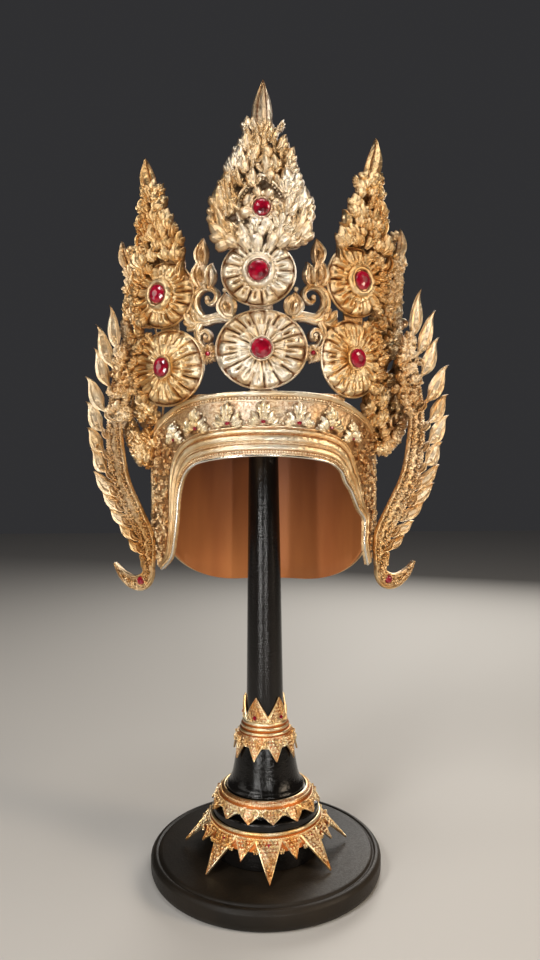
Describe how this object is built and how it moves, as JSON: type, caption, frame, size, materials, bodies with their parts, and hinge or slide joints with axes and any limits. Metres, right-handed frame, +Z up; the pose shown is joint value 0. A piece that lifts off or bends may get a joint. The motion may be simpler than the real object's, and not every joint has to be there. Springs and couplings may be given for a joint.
{
  "type": "thai headdress on display stand",
  "caption": "Gilded Thai dance diadem with flame finials, jewelled rosettes and swept ear wings, open at the crown, standing on a black turned stand with gilded collars.",
  "frame": {"origin": "middle of the stand base's underside", "axes": "+Z up, the front of the diadem faces -Y, +X to the viewer's right"},
  "size_m": [0.324, 0.2073, 0.648],
  "materials": {
    "crown_gold": "pale champagne gilding on crumpled cast relief, brown in the recesses",
    "collar_gold": "deep orange gilding, burnished on the edges",
    "black_lacquer": "satin black lacquer on turned wood",
    "lining_leather": "smooth brown leather with soft upright streaks",
    "ruby_glass": "faceted deep red glass stones, glossy and foiled behind"
  },
  "bodies": {
    "root": {"back_guard": "crown_gold", "band_flower_1": "crown_gold", "band_flower_2": "crown_gold", "band_flower_3": "crown_gold", "band_flower_4": "crown_gold", "band_flower_5": "crown_gold", "band_flower_6": "crown_gold", "band_flower_7": "crown_gold", "brow_band": "crown_gold", "centre_crest_boss": "crown_gold", "centre_crest_stone": "ruby_glass", "centre_finial": "crown_gold", "centre_lower_rosette": "crown_gold", "centre_lower_stone": "ruby_glass", "centre_upper_rosette": "crown_gold", "centre_upper_stone": "ruby_glass", "crown_collar": "collar_gold", "fringe_collar": "collar_gold", "head_rest": "black_lacquer", "leather_lining": "lining_leather", "left_ear_wing": "crown_gold", "left_finial": "crown_gold", "left_hook_stone": "ruby_glass", "left_link_flower": "crown_gold", "left_lower_rosette": "crown_gold", "left_lower_stone": "ruby_glass", "left_scroll": "crown_gold", "left_side_panel": "crown_gold", "left_upper_rosette": "crown_gold", "left_upper_stone": "ruby_glass", "right_ear_wing": "crown_gold", "right_finial": "crown_gold", "right_hook_stone": "ruby_glass", "right_link_flower": "crown_gold", "right_lower_rosette": "crown_gold", "right_lower_stone": "ruby_glass", "right_scroll": "crown_gold", "right_side_panel": "crown_gold", "right_upper_rosette": "crown_gold", "right_upper_stone": "ruby_glass", "stand_base": "black_lacquer", "stand_bell": "black_lacquer", "stand_drum": "black_lacquer", "stand_pole": "black_lacquer", "star_collar": "collar_gold"}
  },
  "joints": []
}
